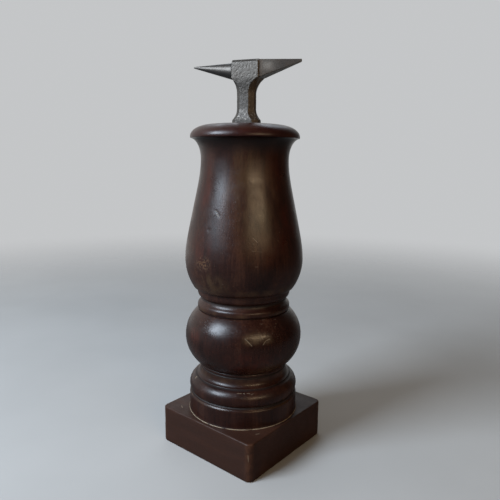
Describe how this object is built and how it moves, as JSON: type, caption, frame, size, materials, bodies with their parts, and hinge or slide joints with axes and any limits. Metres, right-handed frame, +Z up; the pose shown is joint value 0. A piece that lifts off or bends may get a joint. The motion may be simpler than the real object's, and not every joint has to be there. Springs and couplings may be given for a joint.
{
  "type": "jeweller's stake anvil on stand",
  "caption": "Small forged bench anvil with a round horn for rings and a square horn, held by its tang in a turned hardwood stand on a square plinth.",
  "frame": {"origin": "centre of the plinth's underside, on the column's axis", "axes": "+Z up along the column; X and Y square to the plinth's sides; the square horn points 19 degrees from +X towards +Y"},
  "size_m": [0.146, 0.146, 0.472],
  "materials": {
    "waxed_mahogany": "dark red-brown mahogany, old waxed polish, semi-gloss, worn and scratched",
    "cap_mahogany": "dark red mahogany, old waxed polish, semi-gloss",
    "plinth_mahogany": "dark brown mahogany, dull worn polish",
    "forged_steel": "forged and hammered steel, pitted, grey with brown patina, bright on worn edges",
    "wedge_oak": "bare hardwood"
  },
  "bodies": {
    "stand": {"plinth": "plinth_mahogany", "column": "waxed_mahogany", "cap": "cap_mahogany", "tenon_wedge": "wedge_oak"},
    "anvil": {"stake_anvil": "forged_steel"}
  },
  "joints": [
    {"name": "anvil_lift", "type": "slide", "parent": "stand", "child": "anvil", "axis": [0, 0, 1], "range_m": [0, 0.075]}
  ]
}
